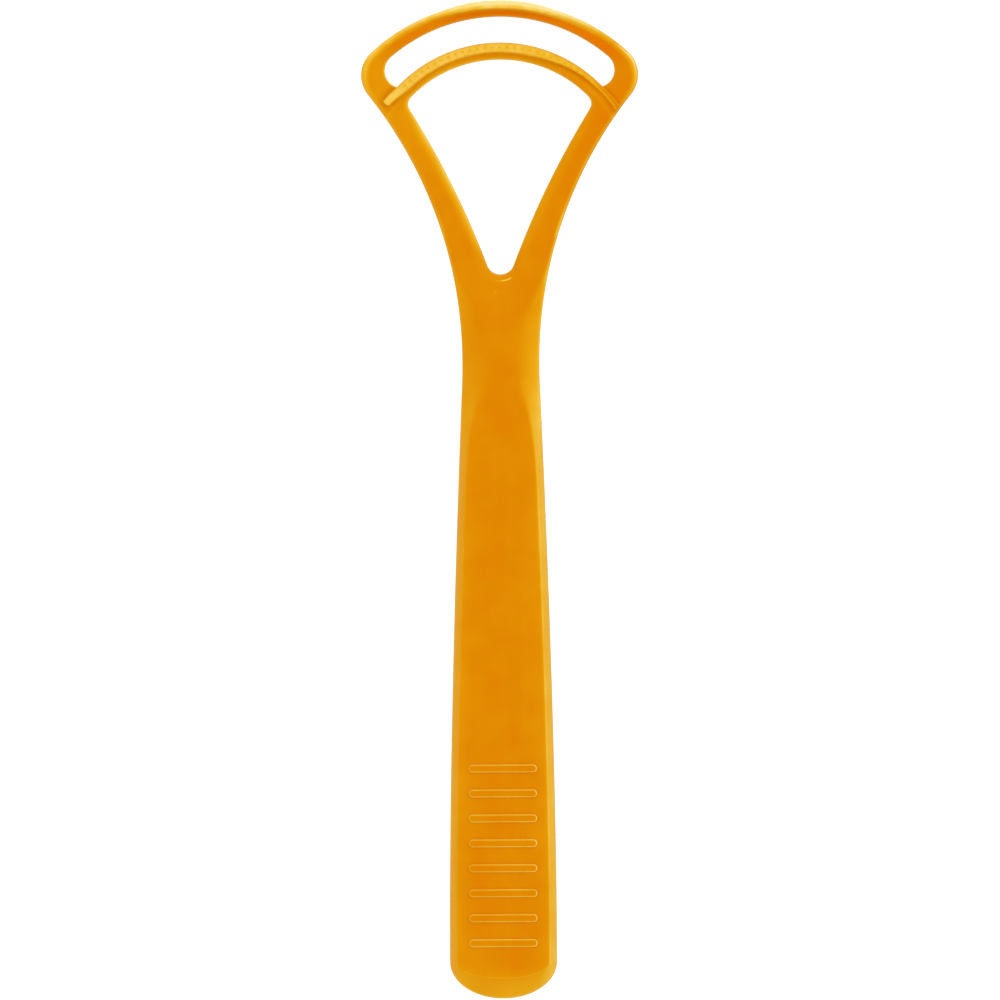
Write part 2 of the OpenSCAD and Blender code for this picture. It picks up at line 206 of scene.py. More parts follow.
def make_piece(name, sheets, material, slot, *nodes, by_slope=0.42):
    """One closed mesh from sheets of points, with the attributes thin and rim for its colour.

    Each cell is two triangles, turned to face along its normals. Points at one place become one
    vertex, cells without area are dropped, and every corner keeps the normal of its own sheet.
    thin is level_thin on a level face, and up to by_slope more on a slope: painted light that makes
    slopes paler, most of all those that face right. rim is 1 on a side wall and 0 on a face, and paints
    shade on the side walls. Where by_slope is 0, thin is what the sheets say and rim is 0 all over.
    """
    corners, normals, thins = [], [], []
    for place, normal, thin in sheets:
        for cell in ((0, 0), (1, 0), (1, 1)), ((0, 0), (1, 1), (0, 1)):
            cut = [np.s_[i : i + place.shape[0] - 1, j : j + place.shape[1] - 1] for i, j in cell]
            corners.append(np.stack([place[c].reshape(-1, 3) for c in cut], 1))
            normals.append(np.stack([normal[c].reshape(-1, 3) for c in cut], 1))
            thins.append(np.stack([thin[c].reshape(-1) for c in cut], 1))
    corners, normals, thins = (np.concatenate(x) for x in (corners, normals, thins))
    facing = np.cross(corners[:, 1] - corners[:, 0], corners[:, 2] - corners[:, 0])
    wrong = (facing * normals.sum(1)).sum(1) < 0
    for rows in corners, normals, thins:
        rows[wrong] = rows[wrong][:, ::-1]
    across, level = normals[..., 0], np.abs(normals[..., 2])
    # Painted light: slopes get paler, and those that face right paler still
    turned = smooth_step(np.degrees(np.arccos(np.minimum(level, 1))), 0, steep)
    painted_right_light = 1 + painted_right_light_gain * across * level**3 * (by_slope > 0)
    thins = level_thin + (thins + by_slope * turned) * painted_right_light
    thins = thins + flow_shift(corners[..., 0], corners[..., 1])
    # Painted shade on the side walls, strongest where they stand upright
    painted_wall_shade = falling(level, wall_level, face_level) * (by_slope > 0)
    _, first, index = np.unique(
        np.round(corners.reshape(-1, 3), 4), axis=0, return_index=True, return_inverse=True
    )
    triangles = index.reshape(-1, 3)
    a, b, c = triangles.T
    whole = (a != b) & (b != c) & (c != a)
    mesh = bpy.data.meshes.new(name)
    mesh.from_pydata(corners.reshape(-1, 3)[first] * MM, [], triangles[whole])
    for attribute, values in ("thin", thins), ("rim", painted_wall_shade):
        mesh.attributes.new(attribute, "FLOAT", "POINT").data.foreach_set(
            "value", values.reshape(-1)[first].astype(np.float32)
        )
    mesh.polygons.foreach_set("use_smooth", np.ones(len(mesh.polygons), bool))
    mesh.normals_split_custom_set(normals[whole].reshape(-1, 3))
    mesh.materials.append(material)
    piece = bpy.data.objects.new(name, mesh)
    bpy.context.scene.collection.objects.link(piece)
    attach(piece, "root")
    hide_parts(*nodes)


class Value:
    """A number socket of a node tree, so that shader maths can be written as expressions."""

    def __init__(self, tree, socket):
        self.tree, self.socket = tree, socket

    def node(self, kind, settings=None, inputs=None, output=0):
        """Adds a node: its settings are set first, then the values or links of its sockets."""
        new = self.tree.nodes.new(kind)
        for key, value in (settings or {}).items():
            if key == "stops":
                ramp = new.color_ramp
                while len(ramp.elements) < len(value):
                    ramp.elements.new(1)
                for element, (at, colour) in zip(ramp.elements, value):
                    element.position, element.color = at, (*colour, 1)
            else:
                setattr(new, key, value)
        for key, value in (inputs or {}).items():
            if isinstance(value, Value):
                self.tree.links.new(value.socket, new.inputs[key])
            else:
                new.inputs[key].default_value = value
        return Value(self.tree, new.outputs[output])

    def maths(self, operation, a, b=0.0):
        """One step of shader maths on numbers or values."""
        return self.node("ShaderNodeMath", {"operation": operation}, {0: a, 1: b})

    def __add__(self, other):
        return self.maths("ADD", self, other)

    def __mul__(self, other):
        return self.maths("MULTIPLY", self, other)

    def __sub__(self, other):
        return self.maths("SUBTRACT", self, other)

    def __rsub__(self, other):
        return self.maths("SUBTRACT", other, self)

    __radd__, __rmul__ = __add__, __mul__

    def between(self, low, high):
        """0 up to low and 1 from high on, with a smooth step between."""
        return self.node(
            "ShaderNodeMapRange",
            {"interpolation_type": "SMOOTHSTEP"},
            {"Value": self, "From Min": low, "From Max": high},
        )

    def ramp(self, *stops):
        """Colours on straight lines between stops of a position and a colour."""
        return self.node("ShaderNodeValToRGB", {"stops": stops}, {"Fac": self})

    def blend(self, a, b):
        """The colour value a where this value is 0 and the plain colour b where it is 1."""
        return self.node("ShaderNodeMix", {"data_type": "RGBA"}, {0: self, 6: a, 7: (*b, 1)}, output=2)


def new_material(name):
    """A material with a Principled shader alone. Gives it, its shader and a start for expressions."""
    material = bpy.data.materials.new(name)
    material.use_nodes = True
    tree = material.node_tree
    return material, tree.nodes["Principled BSDF"], Value(tree, None)


# Colours from the thickest places to the thinnest, the last for the edge of the lip, where the palest
# stops also paint the lamps' highlight on its crest
plastic_colours = (
    (0.800, 0.185, 0.0004),
    (0.768, 0.246, 0.0003),
    (0.807, 0.314, 0.0015),
    (0.847, 0.381, 0.0037),
    (0.896, 0.491, 0.0260),
    (0.978, 0.655, 0.1180),
    (1.000, 0.800, 0.3100),
)
thinnest = 1.2
# Share of the colour kept on side walls, where shade is painted
wall_shade_keep = 0.72
# The mould's pins leave shallow round marks, the last a mere dot: X, Y and radius. The edge of each
# is blurred this far to both sides.
pin_marks = ((-0.1, 30.4, 2.0), (-20.1, 67.8, 0.7), (-0.9, 33.4, 0.2))
pin_edge = 0.12
# A painted highlight, the glint of a lamp on the fork's dished rim, lies on a circle round the fork, from
# a bright stretch on the right to a faint one.
# Each width or radius is where the mark starts to fade and where it ends.
glint_c, glint_r, glint_w = (0, 38.5), 3.3, (0.05, 0.17)
bright_c, bright_r = (0.95, 35.4), (0.65, 0.95)
faint_c, faint_r, faint_share = (0.1, 35.2), (0.6, 1.1), 0.35
dot_c, dot_r, dot_share = (-0.9, 33.4), (0.1, 0.3), 0.3
glint_thin = 0.64
streak_thin, cloud_thin = 0.12, 0.3
grain_h, cloud_h, pin_h = 0.002, 0.01, 0.02
roughness, cloud_roughness = 0.26, 0.1


def plan_distance(place, x, y):
    """Distance in plan from a point given in millimetres."""
    flat = place.node("ShaderNodeVectorMath", {"operation": "MULTIPLY"}, {0: place, 1: (1, 1, 0)})
    ends = {0: flat, 1: (x * MM, y * MM, 0)}
    return place.node("ShaderNodeVectorMath", {"operation": "DISTANCE"}, ends, output="Value")


def within(distance, fade):
    """1 where a distance is less than the first of two millimetre values, and 0 past the second."""
    return 1 - distance.between(fade[0] * MM, fade[1] * MM)


def painted_glint_and_dot(place):
    """Share of the painted glint beside the bottom of the fork, and of the dot below it."""
    off = plan_distance(place, *glint_c) - glint_r * MM
    line = within(off.maths("ABSOLUTE", off), glint_w)
    bright = within(plan_distance(place, *bright_c), bright_r)
    faint = within(plan_distance(place, *faint_c), faint_r)
    dot = within(plan_distance(place, *dot_c), dot_r)
    return line * (bright + (1 - bright) * faint * faint_share) + dot * dot_share


def moulded_plastic(name, cloud_scale):
    """Gloss plastic whose colour follows how thin it is, with painted light and shade, faint flow clouds
    and fine waves.
    """
    material, shader, start = new_material(name)
    place = start.node("ShaderNodeTexCoord", output="Object")
    thin = start.node("ShaderNodeAttribute", {"attribute_name": "thin"}, output="Fac")
    rim = start.node("ShaderNodeAttribute", {"attribute_name": "rim"}, output="Fac")
    stretched = start.node("ShaderNodeMapping", {}, {"Vector": place, "Scale": (500, 45, 500)})
    streaks = start.node("ShaderNodeTexNoise", {}, {"Vector": stretched, "Scale": 1.0, "Detail": 3.0})
    clouds = start.node("ShaderNodeTexNoise", {}, {"Vector": place, "Scale": cloud_scale, "Detail": 2.0})
    grain = start.node("ShaderNodeTexNoise", {}, {"Vector": place, "Scale": 2600.0, "Detail": 2.0})
    marks = 0.0
    for x, y, r in pin_marks:
        marks = within(plan_distance(place, x, y), (r - pin_edge, r + pin_edge)) + marks
    # Painted highlight: the glint by the fork makes the colour paler
    thin = thin + glint_thin * painted_glint_and_dot(place)
    stops = [(k / (len(plastic_colours) - 1), colour) for k, colour in enumerate(plastic_colours)]
    mottled = thin + (streaks - 0.5) * streak_thin + (clouds - 0.5) * cloud_thin
    colour = (mottled * (1 / thinnest)).ramp(*stops)
    # Painted shade: the colour is darkened on side walls, where rim is 1
    shaded = (rim * (1 - wall_shade_keep)).blend(colour, (0, 0, 0))
    link = start.tree.links.new
    link(shaded.socket, shader.inputs["Base Color"])
    link((clouds * cloud_roughness + roughness).socket, shader.inputs["Roughness"])
    height = grain * grain_h + clouds * cloud_h - marks * pin_h
    bump = start.node("ShaderNodeBump", {}, {"Strength": 1.0, "Distance": MM, "Height": height})
    link(bump.socket, shader.inputs["Normal"])
    shader.inputs["IOR"].default_value = 1.49
    shader.inputs["Specular IOR Level"].default_value = 0.15
    shader.inputs["Specular Tint"].default_value = (1.0, 0.6, 0.05, 1)
    return material


plastic = moulded_plastic("orange_plastic", 190.0)

# The bevel is a little paler, and a painted highlight follows its crease: strength, reach outwards and
# inwards, and the distances from the panel's tip over which it sets in
bevel_thin = 0.1
crease_highlight_thin, crease_out, crease_in = 0.15, 0.12, 1.4
glow_from, glow_full = 2, 20


def grip_sections(wall, panel, centre, flat):
    """Front and back points of sections that run from the outline, over the panel, to the middle line."""
    s = shares_across(flat)
    s = np.concatenate([s, -s[:, -2:-1]], 1)[..., None]
    edge = flat[:, None, None]
    plan = np.where(
        s > edge,
        mix(wall[:, None], panel[:, None], (1 - s) / (1 - edge)),
        mix(centre[:, None], panel[:, None], s / edge),
    )
    d = np.linalg.norm(plan - wall[:, None], axis=2)
    rise = crown(s[..., 0], flat[:, None])
    top = mix(side_wall_h, handle_t, rise) - quarter_round(d, edge_r)
    inside = d - np.linalg.norm(panel - wall, axis=1)[:, None]
    # Painted highlight along the crease between the bevel and the panel
    glow = np.exp(np.minimum(inside, 0) / crease_out - np.maximum(inside, 0) / crease_in)
    glow = glow * smooth_step(tip_y - wall[:, 1:], glow_from, glow_full)
    thin = bevel_thin * (1 - rise) + crease_highlight_thin * glow
    front = np.dstack([plan, top, thin])
    back = np.dstack([plan, quarter_round(d, back_r), thin])
    return front[:, ::-1], back[:, ::-1]


side_steps, butt_steps = 150, 64
side_y = mix(tip_y, butt_c_y, ghosted(side_steps)[:-1])
turn = np.pi * np.arange(1, butt_steps) / butt_steps
right_wall = np.stack([half_width(side_y), side_y], 1)
side_flat = panel_share(side_y, half_width(side_y))
right_panel = np.stack([side_flat * half_width(side_y), side_y], 1)
flip = np.array([-1.0, 1.0])
butt_wall = np.stack([grip_half * np.cos(turn), butt_c_y - butt_l * np.sin(turn)], 1)
butt_panel = np.stack(
    [(grip_half - bevel_w) * np.cos(turn), butt_c_y - (butt_l - butt_bevel_l) * np.sin(turn)], 1
)
wall = np.concatenate([right_wall, butt_wall, right_wall[::-1] * flip])
panel = np.concatenate([right_panel, butt_panel, right_panel[::-1] * flip])
centre = np.stack([np.zeros(len(wall)), np.maximum(wall[:, 1], butt_c_y)], 1)
butt_flat = np.full(len(turn), 1 - bevel_w / grip_half)
flat = np.concatenate([side_flat, butt_flat, side_flat[::-1]])
grip_front, grip_back = grip_sections(wall, panel, centre, flat)
grip = [
    ring_sheet(grip_front, grip_back, open_start=True),
    seam_sheet(grip_front[1, 1:], grip_back[1, 1:], (0, 1)),
    seam_sheet(grip_front[-2, 1:], grip_back[-2, 1:], (0, 1)),
]
make_piece("handle_grip", grip, plastic, "orange_plastic", "handle")

# Neck: the waist between the grip and the fork, a smooth crown of the same plastic without a panel.
# It grows out of the panel's tip and starts to flare before it divides.
yoke_y = low_high("neck")[1][1]
waist_l = 2.2
neck_l = 18.25
level_up = 2
flare_y = waist_y + waist_l
level_y = tip_y + neck_l + level_up
arm_y = low_high("yoke")[1][1]
plate_t = low_high("left_arm")[1][2]
head_half = low_high("right_arm")[1][0]
top_y = low_high("outer_bow")[1][1]
outer_r = 30.5
shoulder_r = 5
arm_bevel_w = 0.4
arm_bevel_h = 0.4
row_crease = 0.3


def nested_centre(c, r, half, small_r):
    """Centre of a small arc that touches a large one from inside and reaches a given half width."""
    x = half - small_r
    return np.array([x, c[1] + np.sqrt((r - small_r) ** 2 - x**2)])


outer_c = np.array([0, top_y - outer_r])
shoulder_c = nested_centre(outer_c, outer_r, head_half, shoulder_r)

# The flare leaves the waist along Y and touches the shoulder
flare_x = shoulder_c[0] - waist_half
flare_h = shoulder_c[1] - flare_y
flare_r = (flare_x**2 + flare_h**2 - shoulder_r**2) / (2 * (flare_x + shoulder_r))
flare_c = np.array([waist_half + flare_r, flare_y])


def far(x, y, c):
    """Distance in plan from the point c."""
    return np.hypot(x - c[0], y - c[1])


def body_half(y):
    """Half width from the grip to the arms: the grip's, then an arc that flares out."""
    rise = np.clip(y - flare_y, 0, flare_r)
    return half_width(y) + flare_r - np.sqrt(flare_r**2 - rise**2)


def from_side(x, y):
    """Distance from the outside of the waist and the flare."""
    x = np.abs(x)
    return np.where(y > flare_y, far(x, y, flare_c) - flare_r, body_half(y) - x)


def flat_share(y):
    """Share of the way from the crowned neck to the flat arms, a smooth step."""
    return smooth_step(y, waist_y, level_y)


def crowned_front(x, y):
    """Height and thinness of the front over the neck and the yoke: a crown that widens to a plate."""
    share = flat_share(y)
    half = body_half(y)
    flat = mix(panel_share(y, half), 1 - arm_bevel_w / half, share)
    d = from_side(x, y)
    rise = crown(1 - d / half, flat)
    low = mix(side_wall_h, plate_t - arm_bevel_h, share)
    height = mix(low, mix(handle_t, plate_t, share), rise) - quarter_round(d, edge_r)
    return height, bevel_thin * (1 - rise)


def plan_front_back(plan, front, back_drop):
    """Front and back points over a plan, from a height function and the distance to the edges."""
    x, y = plan[..., 0], plan[..., 1]
    height, thin = front(x, y)
    back = quarter_round(back_drop(x, y), back_r)
    return np.dstack([plan, height, thin]), np.dstack([plan, back, thin])


def body_row(y):
    """Plan points across the neck, left edge to right edge."""
    half = body_half(y)
    s = shares_across(np.full(np.shape(y), row_crease))
    right = s * half[:, None]
    across = np.concatenate([-right, right[:, -2::-1]], 1)
    return np.dstack([across, np.broadcast_to(y[:, None], across.shape)])


neck_steps = 28
neck_plan = body_row(mix(tip_y, yoke_y, ghosted(neck_steps)))
neck_front, neck_back = plan_front_back(neck_plan, crowned_front, from_side)
neck = [
    ring_sheet(neck_front, neck_back),
    seam_sheet(neck_front[1], neck_back[1], (0, -1)),
    seam_sheet(neck_front[-2], neck_back[-2], (0, 1)),
]
make_piece("neck_crown", neck, plastic, "orange_plastic", "neck")

# Yoke: where the neck divides round the bottom of the window, flattening from a crown to a plate.
# The window's rim is dished all round, so that nothing sharp faces the lips.
fork_r = 2.25
window_side_r = 138
window_bevel_w = 1.4
window_bevel_h = 0.5
head_window_half = 14.7
corner_r = 1.6
outer_bow_w = 2.35
slot_r = 26.85
slot_w = 4.2
inner_bow_w = 2.7
fork_y = tip_y + neck_l
arch_c = np.array([0, top_y - outer_bow_w - slot_r])
bow_r = slot_r - slot_w
window_r = bow_r - inner_bow_w
rib_inner_r = bow_r - 1.75
fork_c = np.array([0, fork_y + fork_r])
corner_c = nested_centre(arch_c, window_r, head_window_half, corner_r)


def crossing(c1, d1, c2, d2):
    """Point at two distances from two centres, on the right of the way from the first to the second."""
    d = np.linalg.norm(c2 - c1)
    e = (c2 - c1) / d
    along = (d1**2 - d2**2 + d**2) / (2 * d)
    return c1 + along * e + np.sqrt(d1**2 - along**2) * np.array([e[1], -e[0]])


def bearing(c, p):
    """Angle in plan of the points p seen from c, anticlockwise from the X axis."""
    p = np.asarray(p)
    return np.arctan2(p[..., 1] - c[1], p[..., 0] - c[0])


def on_arc(c, r, a):
    """Points of a circle round c at the angles a."""
    return np.stack([c[0] + r * np.cos(a), c[1] + r * np.sin(a)], -1)


side_c = crossing(fork_c, window_side_r + fork_r, corner_c, window_side_r + corner_r)
fork_a = bearing(fork_c, side_c)
side_low_a = np.pi - np.arcsin((arm_y - side_c[1]) / window_side_r)
side_top_a = bearing(side_c, corner_c) % (2 * np.pi)


def dished(d, w, h):
    """Drop of a soft bevel w wide and h deep: a parabola that meets the front level."""
    return h * np.clip(1 - d / w, 0, 1) ** 2


def from_window(x, y):
    """Distance from the window's edge: its bottom, long sides and upper corners."""
    x = np.abs(x)
    below = bearing(fork_c, np.stack([x, y], -1)) < fork_a
    above = bearing(corner_c, np.stack([x, y], -1)) > side_top_a - np.pi
    side = window_side_r - far(x, y, side_c)
    lower = np.where(below, far(x, y, fork_c) - fork_r, side)
    return np.where(above & (y > arm_y), far(x, y, corner_c) - corner_r, lower)


# The dished rim narrows to a share at the upper corners, and a faint glow fades over it
corner_share, corner_from_y, corner_full_y = 0.45, corner_c[1] - 6, corner_c[1] + 1
rim_thin, rim_fade = 0.12, (0.9, 1.9)
# Paler and deeper shades round the fork, the paler ones painted light: thinness, then where each sets in
# and where it is full or gone
left_thin, left_x, left_d, left_y = 0.25, (2, 4), (0.2, 1.8), (43, 50)
deep_thin, deep_x, deep_d = 0.25, (-1.8, -0.3), (0.2, 1.6)
highlight_line_thin, line_x, line_d, line_w = 0.14, (-1.5, 0.5), 1.05, 0.35
bottom_y = 38, 42


def window_share(y):
    """Share of the dished rim's width and depth that is left at the height y of the window."""
    return mix(1, corner_share, smooth_step(y, corner_from_y, corner_full_y))


def rim_glow(d):
    """Thinness of the rim at the distance d from the window."""
    return rim_thin * falling(d, *rim_fade)


def painted_fork_light(x, y, d):
    """The window's edge is painted paler on the left of the fork, and deep orange at its bottom.

    Outside the deep orange, a painted highlight line goes round the bottom from the left.
    """
    left = left_thin * smooth_step(-x, *left_x) * falling(d, *left_d) * falling(y, *left_y)
    deep = deep_thin * smooth_step(x, *deep_x) * falling(d, *deep_d)
    line = highlight_line_thin * bell(d, line_d, line_w) * falling(x, *line_x)
    return left + (line - deep) * falling(y, *bottom_y)


def yoke_front(x, y):
    """Height and thinness of the neck's crown, less the window's dished rim and its round edge."""
    height, thin = crowned_front(x, y)
    d = from_window(x, y)
    drop = dished(d, window_bevel_w, window_bevel_h) + quarter_round(d, edge_r)
    return height - drop, thin + rim_glow(d) + painted_fork_light(x, y, d)


def yoke_edges(x, y):
    """Distance from the nearer edge of the yoke, for the rounding of its back."""
    return np.minimum(from_side(x, y), from_window(x, y))


def across(a, b, steps, past_start=False):
    """Plan points on lines from a to b, closer together at both ends."""
    t = closer_at_ends(steps)
    if past_start:
        t = np.concatenate([[-t[1]], t])
    return mix(a[:, None], b[:, None], t[None, :, None])


# Each half has a low sheet, from the neck to the window's bottom, and a high one beside the window.
# The low one starts with a column on the other side of the middle line, for the slopes there.
plate_steps = 22
seam_row = neck_plan[-2]
right_row = seam_row[len(seam_row) // 2 :]
past_edge = right_row[-1, 0] * 2 - right_row[-2, 0]
row_x = np.concatenate([[-right_row[1, 0]], right_row[:, 0], [past_edge]])
row_share = row_x / right_row[-1, 0]
low_a = np.stack([row_x, np.full(len(row_x), yoke_y)], 1)
low_b = on_arc(fork_c, fork_r, mix(-np.pi / 2, fork_a, row_share))
low_plan = across(low_a, low_b, plate_steps, past_start=True)
low_front, low_back = plan_front_back(low_plan, yoke_front, yoke_edges)

flare_t = ghosted(26)
high_y = mix(yoke_y, arm_y, flare_t)
high_a = np.stack([body_half(high_y), high_y], 1)
high_b = on_arc(side_c, window_side_r, mix(np.pi + fork_a, side_low_a, flare_t))
high_plan = across(high_a, high_b, plate_steps)
high_front, high_back = plan_front_back(high_plan, yoke_front, yoke_edges)
right_yoke = [
    ring_sheet(low_front, low_back, open_start=True),
    ring_sheet(high_front, high_back),
    seam_sheet(low_front[1:-1, 1], low_back[1:-1, 1], (0, -1)),
    seam_sheet(high_front[-2], high_back[-2], (0, 1)),
]
make_piece("yoke_fork", right_yoke + mirrored(right_yoke), plastic, "orange_plastic", "yoke")

# Arms: two flat curved arms that widen into round shoulders, where the ends of both bows join them.
# Their outside has a small round edge, and the sides to the window and the slot are eased too.
slot_half = 18.45
slot_end_r = 2.85
slot_bevel_w = 0.25
slot_end_c = nested_centre(arch_c, slot_r, slot_half, slot_end_r)
slot_tip = crossing(arch_c, bow_r, slot_end_c, slot_end_r)
window_end_a = bearing(arch_c, corner_c)
slot_end_a = bearing(arch_c, slot_end_c)
middle_a = np.pi / 2
slot_tip_a = bearing(slot_end_c, slot_tip)
tip_a = bearing(arch_c, slot_tip)
shoulder_low_a = bearing(shoulder_c, flare_c)
shoulder_top_a = bearing(outer_c, shoulder_c)
arm_half = body_half(np.array(arm_y))
no_edge = 9

# Shades of the head, in the same order. The band along the outside is wider and paler on the shoulders,
# and a line of painted light lies along the rib's inner foot, where its shadow falls.
shoulder_y = corner_c[1] - 1, corner_c[1] + 6
band_peak, band_at_edge = 0.4, 0.3
side_band_thin, shoulder_band_thin = 0.25, 0.6
side_band_w, shoulder_band_w = 0.75, 1.5
rib_foot_light, rib_foot_light_w = 0.15, 0.35
right_deep, right_out = 0.25, (0.3, 0.7)
right_x, right_low_y, right_top_y = (4, 12), (arm_y, arm_y + 6), (69, 72)
lip_deep, lip_deep_r, lip_deep_turn = 0.2, (26.5, 27), (0.62, 0.78)


def seen_from(place, a, c, r):
    """Point of a circle seen from a place inside it at the bearing a."""
    u = np.stack([np.cos(a), np.sin(a)], -1)
    w = place - c
    along = (w * u).sum(-1, keepdims=True)
    return place + u * (np.sqrt(along**2 + r**2 - (w * w).sum()) - along)


def from_outside(x, y):
    """Distance from the outside of the head: the flare, the shoulder or the outer bow's arc."""
    x = np.abs(x)
    a = bearing(shoulder_c, np.stack([x, y], -1))
    round_part = (a > shoulder_low_a) & (a < shoulder_top_a)
    straight = np.minimum(far(x, y, flare_c) - flare_r, outer_r - far(x, y, outer_c))
    return np.where(round_part, shoulder_r - far(x, y, shoulder_c), straight)


def from_slot(x, y):
    """Distance from the eased edges of the slot, its round ends and its outer side."""
    x = np.abs(x)
    a, r = bearing(arch_c, np.stack([x, y], -1)), far(x, y, arch_c)
    end = far(x, y, slot_end_c) - slot_end_r
    side = np.where(r > (slot_r + bow_r) / 2, r - slot_r, no_edge)
    on_inner_bow = (r < bow_r + 0.01) & (a > tip_a)
    return np.where(on_inner_bow, no_edge, np.where(a > slot_end_a, side, end))


def edge_band(out, w):
    """Share of the paler band w wide along the outside, strongest a little way in."""
    return falling(out, band_peak, w) * mix(band_at_edge, 1, smooth_step(out, 0, band_peak))


def beside_lip(a):
    """Share of the deeper orange beside the lip at the bearing a, which ends at the shoulders."""
    return falling(np.abs(a - middle_a), *lip_deep_turn)


def plate_front(x, y):
    """Height and thinness of the flat head, with its outer, window and slot edges eased."""
    out = from_outside(x, y)
    delta, eps = np.minimum(out, arm_half) / arm_half, arm_bevel_w / arm_half
    rise = soft_least(1, delta * (2 - delta) / (eps * (2 - eps)), crease_softness)
    low = arm_bevel_h * (1 - rise) + quarter_round(out, edge_r)
    w = window_share(y)
    a, r = bearing(arch_c, np.stack([np.abs(x), y], -1)), far(x, y, arch_c)
    window = np.where(a > window_end_a, r - window_r, from_window(x, y))
    hole = dished(window, window_bevel_w * w, window_bevel_h * w) + quarter_round(window, edge_r * w)
    ease = dished(from_slot(x, y), slot_bevel_w, slot_bevel_w)
    on_shoulder = smooth_step(y, *shoulder_y)
    band_w = mix(side_band_w, shoulder_band_w, on_shoulder)
    band = mix(side_band_thin, shoulder_band_thin, on_shoulder) * edge_band(out, band_w)
    # Painted light along the rib's inner foot, where the rib's shadow falls
    band = band + rib_foot_light * bell(r, rib_inner_r, rib_foot_light_w)
    right_side = smooth_step(x, *right_x) * smooth_step(y, *right_low_y) * falling(y, *right_top_y)
    band = band - right_deep * right_side * falling(out, *right_out)
    lip_a, lip_r = bearing(outer_c, np.stack([x, y], -1)), far(x, y, outer_c)
    band = band - lip_deep * beside_lip(lip_a) * smooth_step(lip_r, *lip_deep_r)
    thin = rim_glow(window / w) * w + band + painted_fork_light(x, y, window)
    return plate_t - np.maximum(low, np.maximum(hole, ease)), thin


def plate_edges(x, y):
    """Distance from the nearest edge of the head, for the rounding of its back."""
    a, r = bearing(arch_c, np.stack([np.abs(x), y], -1)), far(x, y, arch_c)
    window = np.where(a > window_end_a, np.abs(r - window_r), from_window(x, y))
    slot = np.minimum(from_slot(x, y), np.abs(bow_r - r) + no_edge * (a < tip_a))
    return np.maximum(0, np.minimum(np.minimum(from_outside(x, y), window), slot))


def plate_band(a, b, steps=plate_steps, open_start=False):
    """Front and back points of the flat head on lines from a to b."""
    plan = across(a, b, steps, past_start=open_start)
    return plan_front_back(plan, plate_front, plate_edges)


def on_flare(p):
    """Point of the flare seen from its centre in the direction of p."""
    return on_arc(flare_c, flare_r, bearing(flare_c, p))


# Four bands on lines from the window or the slot to the outside: along the window's side, round its
# corner, over the seam with the inner bow, and round the end of the slot
bow_steps = 18
side_t = ghosted(56)
side_a = on_arc(side_c, window_side_r, mix(side_low_a, side_top_a, side_t))
side_end = on_arc(side_c, window_side_r, side_top_a)
flare_low_a = np.pi - np.arcsin((arm_y - flare_y) / flare_r)
side_b = on_arc(flare_c, flare_r, mix(flare_low_a, bearing(flare_c, side_end), side_t))
corner_a = on_arc(corner_c, corner_r, mix(side_top_a - np.pi, window_end_a, ghosted(12)))
seam_t = closer_at_ends(bow_steps)
seam_t = np.concatenate([[-seam_t[1]], seam_t, [1 + seam_t[1]]])[:, None]
seam_a = mix(on_arc(corner_c, corner_r, window_end_a), slot_tip, seam_t)
slot_t = ghosted(40)
slot_a = on_arc(slot_end_c, slot_end_r, mix(slot_tip_a, slot_end_a, slot_t))

# The outside from opposite the slot's tip, over the shoulder, to the seam with the outer bow
tip_out_a = bearing(flare_c, slot_tip)
flare_top_a = bearing(flare_c, shoulder_c)
last_out = seen_from(arch_c, slot_end_a, outer_c, outer_r)
out_lengths = [
    flare_r * (tip_out_a - flare_top_a),
    shoulder_r * (shoulder_top_a - shoulder_low_a),
    outer_r * (bearing(outer_c, last_out) - shoulder_top_a),
]
out_ends = np.cumsum(out_lengths)
out_at = slot_t * out_ends[-1]
slot_b = np.where(
    out_at[:, None] < out_ends[0],
    on_arc(flare_c, flare_r, tip_out_a - out_at / flare_r),
    np.where(
        out_at[:, None] < out_ends[1],
        on_arc(shoulder_c, shoulder_r, shoulder_low_a + (out_at - out_ends[0]) / shoulder_r),
        on_arc(outer_c, outer_r, shoulder_top_a + (out_at - out_ends[1]) / outer_r),
    ),
)
side_band = plate_band(side_a, side_b)
corner_band = plate_band(corner_a, on_flare(corner_a))
seam_band = plate_band(seam_a, on_flare(seam_a), open_start=True)
slot_band = plate_band(slot_a, slot_b)
right_arm = [
    ring_sheet(*side_band),
    ring_sheet(*corner_band),
    ring_sheet(*seam_band, open_start=True),
    ring_sheet(*slot_band),
    seam_sheet(side_band[0][1], side_band[1][1], (0, -1)),
    seam_sheet(seam_band[0][1:-1, 1], seam_band[1][1:-1, 1], (-1, 1)),
    seam_sheet(slot_band[0][-2], slot_band[1][-2], (-1, 1)),
]
make_piece("right_arm_plate", right_arm, plastic, "orange_plastic", "right_arm")
make_piece("left_arm_plate", mirrored(right_arm), plastic, "orange_plastic", "left_arm")

# Bows: the two arches of the head, parted by the slot. The inner one closes the window.
# Both are strips of the same plate, with soft edges to the window and the slot.
arch_t = ghosted(150)
outer_bow_steps = 20


def make_bow(name, a, b, steps, node):
    """Strip of the plate on lines from the arc a to the arc b, cut off flat at both ends."""
    front, back = plate_band(a, b, steps)
    right_end = seam_sheet(front[1], back[1], (1, -1))
    left_end = seam_sheet(front[-2], back[-2], (-1, -1))
    make_piece(name, [ring_sheet(front, back), right_end, left_end], plastic, "orange_plastic", node)


